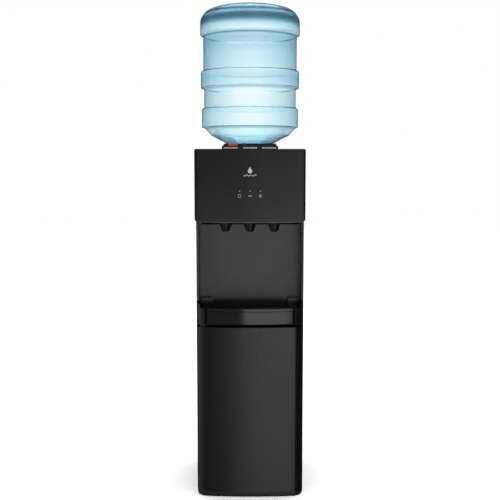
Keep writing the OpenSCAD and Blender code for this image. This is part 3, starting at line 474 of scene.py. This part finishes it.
def softened(name, mat):
    """A bent tube or wire whose flats are shaded as one round surface; only its cut ends stay sharp."""
    piece = merged(name, "_tube", mat)
    piece.data.set_sharp_from_angle(angle=math.radians(66))
    return stand_in(piece, name)


def coil_spring(tap, mat):
    """A valve's return spring, shaded as one round wire and given a mesh of its own. On the dispenser it
    shortens by the valve's stroke, towards its lower, fixed end; here it stays at rest.
    """
    piece = softened(tap + "_spring", mat)
    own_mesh(piece)


def eased(name, width_mm, mat, segments=2):
    """A copy of a CAD node with every sharp edge rounded off.

    Flat neighbours are joined into one face, and a Bevel modifier of the given width turns each
    edge sharper than 35 degrees into a small round, as a moulding or a folded sheet has.
    """
    piece = merged(name, "_moulding", mat)
    work = bmesh.new()
    work.from_mesh(piece.data)
    bmesh.ops.dissolve_limit(work, angle_limit=math.radians(1.0), verts=work.verts, edges=work.edges)
    work.to_mesh(piece.data)
    work.free()
    bevel = piece.modifiers.new("edge", "BEVEL")
    bevel.width = width_mm * MM
    bevel.segments = segments
    bevel.limit_method = "ANGLE"
    bevel.angle_limit = math.radians(35)
    bevel.harden_normals = True
    return stand_in(piece, name)


def body_with(name):
    """The body that a CAD node rides on."""
    return next(b for b, nodes in frame["record"]["behaviour"]["bodies"].items() if name in nodes)


def paint(name, mat):
    """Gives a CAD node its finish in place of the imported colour."""
    data = frame["nodes"][name].data
    data.materials.clear()
    data.materials.append(mat)


# ------------------------------------------------------------------ pieces

def bottle():
    """The inverted bottle: one closed wall of revolution, outside and inside.

    The outside runs from the domed base at the top, over the shoulder crease, down past three
    bands and the cone to the neck; the inside repeats it one wall thickness in.
    """
    top, r = BOTTLE_HIGH[2], BOTTLE_R
    z = HEAD_HIGH[2]
    outer = [
        (0, top - 0.2 * MM), (60 * MM, top - 0.2 * MM), (92 * MM, top - 2.2 * MM), (116 * MM, top - 9 * MM),
        (129 * MM, top - 19 * MM), (130 * MM, top - 21 * MM), (r - 1.5 * MM, top - 32 * MM),
        (r - 0.1 * MM, top - 49 * MM), (r - 0.1 * MM, top - 76.5 * MM),
        (r - 8.5 * MM, top - 81 * MM), (r - 8.5 * MM, z + 220 * MM), (r - 1.5 * MM, z + 216 * MM),
        (r - 1.5 * MM, z + 172 * MM), (r - 10.5 * MM, z + 168 * MM), (r - 10.5 * MM, z + 117 * MM),
        (r - 3.8 * MM, z + 113 * MM), (r - 3.8 * MM, z + 62.5 * MM), (r - 12.5 * MM, z + 59 * MM),
        (r - 20 * MM, z + 51 * MM), (r - 29 * MM, z + 40 * MM), (70.5 * MM, z + 20 * MM),
        (29 * MM, z - 2 * MM), (28 * MM, z - 6 * MM), (28 * MM, BOTTLE_LOW[2]),
    ]
    radii = [16, 12, 8, 1.5, 1.5, 12, 12, 1.5, 2, 2, 1.5, 1.5, 2, 2, 1.5, 2, 8, 12, 6, 5, 2, 2]
    wall = rounded(outer, [q * MM for q in radii])
    along = np.gradient(wall, axis=0)
    along /= np.linalg.norm(along, axis=1)[:, None]
    inside = wall - 1.8 * MM * np.stack([-along[:, 1], along[:, 0]], 1)
    inside[0, 0] = 0
    inside[:, 0] = np.maximum(inside[:, 0], 0)
    inside[-1, 1] = wall[-1, 1]
    profile = np.vstack([wall, inside[::-1]])
    profile[0, 0] = profile[-1, 0] = 0
    piece = revolve("bottle_shell", profile, bottle_plastic(), (0, AXIS_Y))
    outward(piece)
    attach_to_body(piece, "bottle")
    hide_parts("bottle")


def plate(name, outlines, y0, y1, mat):
    """Flat closed outlines in x and z raised between the depths y0 and y1, as one mesh.

    Each outline becomes a front ring, a back ring, a wall between them and two fans about the
    outline's middle, which must see every point of it.
    """
    points, faces = [], []
    for outline in outlines:
        outline = np.array(outline, float)
        n, base = len(outline), len(points)
        middle = outline.mean(axis=0)
        for y in (y0, y1):
            points += [(x, y, z) for x, z in outline]
        points += [(middle[0], y0, middle[1]), (middle[0], y1, middle[1])]
        for k in range(n):
            j = (k + 1) % n
            faces += [(base + k, base + j, base + n + j, base + n + k),
                      (base + 2 * n, base + j, base + k), (base + 2 * n + 1, base + n + k, base + n + j)]
    piece = new_mesh(name, points, faces, mat)
    outward(piece)
    return piece


def attach(piece, node):
    """Rides a small light-grey piece on the body of a CAD node."""
    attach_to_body(piece, body_with(node))
    return piece


def pill(x, z, w, h, steps=8):
    """Outline of a bar with round ends, centred on x and z."""
    a = np.linspace(-math.pi / 2, math.pi / 2, steps)
    r = h / 2
    right = [(x + w / 2 - r + r * math.cos(t), z + r * math.sin(t)) for t in a]
    left = [(x - w / 2 + r - r * math.cos(t), z - r * math.sin(t)) for t in a]
    return right + left


def drop(x, z, r, tall):
    """Outline of a water drop: a circle of radius r whose top is drawn out to a point."""
    a = np.linspace(0, 2 * math.pi, 40, endpoint=False)
    return [(x + r * math.cos(t) * (1 if math.sin(t) < 0 else (1 - math.sin(t)) ** 0.75),
             z + r * math.sin(t) * (1 if math.sin(t) < 0 else tall)) for t in a]


def ring_parts(x, z, r, width, count=24):
    """Outlines that tile a thin ring of radius r."""
    a = np.linspace(0, 2 * math.pi, count + 1)
    return [[(x + q * math.cos(t), z + q * math.sin(t)) for q, t in
             ((r, a[k]), (r, a[k + 1]), (r - width, a[k + 1]), (r - width, a[k]))] for k in range(count)]


EMBLEM_DOWN = 58.2 * MM     # from the head's top to the emblem's middle
ICONS_DOWN = 125.6 * MM     # from the head's top to the row of icons
ICON_PITCH = 28 * MM
KEY_PITCH = 51 * MM
KEY_W = 38.5 * MM
INK_OUT = 0.15 * MM         # how far the print stands proud of the head


def markings():
    """Generic marks on the head: a solid drop over a wavy line, and three icons."""
    ink = printed_ink()
    y0, y1 = FRONT - INK_OUT, FRONT + 0.1 * MM
    z = HEAD_HIGH[2] - EMBLEM_DOWN
    wave = []
    for k in range(30):
        x0, x1 = -17 * MM + k * 34 / 30 * MM, -17 * MM + (k + 1) * 34 / 30 * MM
        h0, h1 = (1.5 * MM * math.sin(x / (34 * MM) * 6 * math.pi) for x in (x0, x1))
        low = z - 12.5 * MM
        wave.append([(x0, low + h0 - 0.9 * MM), (x1, low + h1 - 0.9 * MM), (x1, low + h1 + 0.9 * MM),
                     (x0, low + h0 + 0.9 * MM)])
    attach(plate("drop_emblem", [drop(0, z - 1 * MM, 6.2 * MM, 1.9)] + wave, y0, y1, ink), "head_cover")
    icon = HEAD_HIGH[2] - ICONS_DOWN
    hot = ring_parts(-ICON_PITCH, icon, 4.6 * MM, 1.3 * MM)
    room = [pill(dx * MM, icon, 3.6 * MM, 4.2 * MM) for dx in (-2.6, 2.6)]
    cold = []
    for k in range(3):
        c, s = math.cos(math.radians(60 * k + 30)), math.sin(math.radians(60 * k + 30))
        cold.append([(ICON_PITCH + u * MM * c - v * MM * s, icon + u * MM * s + v * MM * c)
                     for u, v in ((-4.4, -0.8), (4.4, -0.8), (4.4, 0.8), (-4.4, 0.8))])
    attach(plate("button_icons", hot + room + cold, y0, y1, trim_grey()), "head_cover")


def key_trims():
    """Light grey rounded strips on the housing's rail, one below each button."""
    low = corners("button_housing")[0]
    z = HEAD_HIGH[2] + 2.7 * MM
    strips = [pill(k * KEY_PITCH, z, KEY_W, 3.6 * MM) for k in (-1, 0, 1)]
    attach(plate("rail_trims", strips, low[1] - 0.4 * MM, low[1] + 0.2 * MM, trim_grey()), "button_housing")


def main():
    """Builds every piece and gives every CAD node its finish."""
    studio()
    satin, dark, steel = satin_abs(), dark_abs(), powder_coat()
    for name, width in (
        ("head_cover", 1.6), ("top_cover", 2.0), ("front_panel", 1.5), ("tray_holder", 1.2),
        ("button_housing", 0.9), ("hot_button", 0.8), ("room_button", 0.8), ("cold_button", 0.8),
    ):
        eased(name, width, satin)
    eased("niche_liner", 1.0, niche_abs())
    gloss = gloss_abs()
    eased("drip_tray", 1.2, gloss)
    eased("drip_grille", 0.6, gloss)
    eased("base_plinth", 1.0, dark)
    eased("rubber_feet", 0.8, rubber())
    eased("child_lock", 0.7, red_abs())
    for name in ("left_side_panel", "right_side_panel", "rear_panel", "base_pan", "compressor"):
        paint(name, steel)
    softened("condenser_coil", steel)
    softened("condenser_wires", steel)
    for name in ("hot_tap", "room_tap", "cold_tap", "switch_bezel", "cord_gland", "drain_cap",
                 "thermostats"):
        paint(name, satin)
    paint("bottle_funnel", dark)
    grey = grey_pp()
    for name in ("water_probe", "hot_push_rod", "room_push_rod", "cold_push_rod", "indicator_lights",
                 "baffle_plate", "drain_outlet", "bottle_cap"):
        paint(name, grey)
    black_rubber = rubber()
    for name in ("funnel_seal", "hot_plunger", "room_plunger", "cold_plunger", "compressor_grommets",
                 "drain_washer"):
        paint(name, black_rubber)
    bright = stainless()
    for name in ("cold_tank", "hot_tank", "heater_band", "panel_screws"):
        paint(name, bright)
    wire = spring_wire()
    for tap in ("hot", "room", "cold"):
        coil_spring(tap, wire)
    pipe = copper_tube()
    paint("dryer_filter", pipe)
    softened("evaporator_coil", pipe)
    softened("refrigerant_lines", pipe)
    beads = bead_foam()
    paint("cold_insulation", beads)
    paint("hot_insulation", beads)
    paint("indicator_board", circuit_board())
    softened("water_hoses", silicone())
    paint("hot_switch", red_abs())
    paint("cold_switch", green_abs())
    bottle()
    markings()
    key_trims()


main()
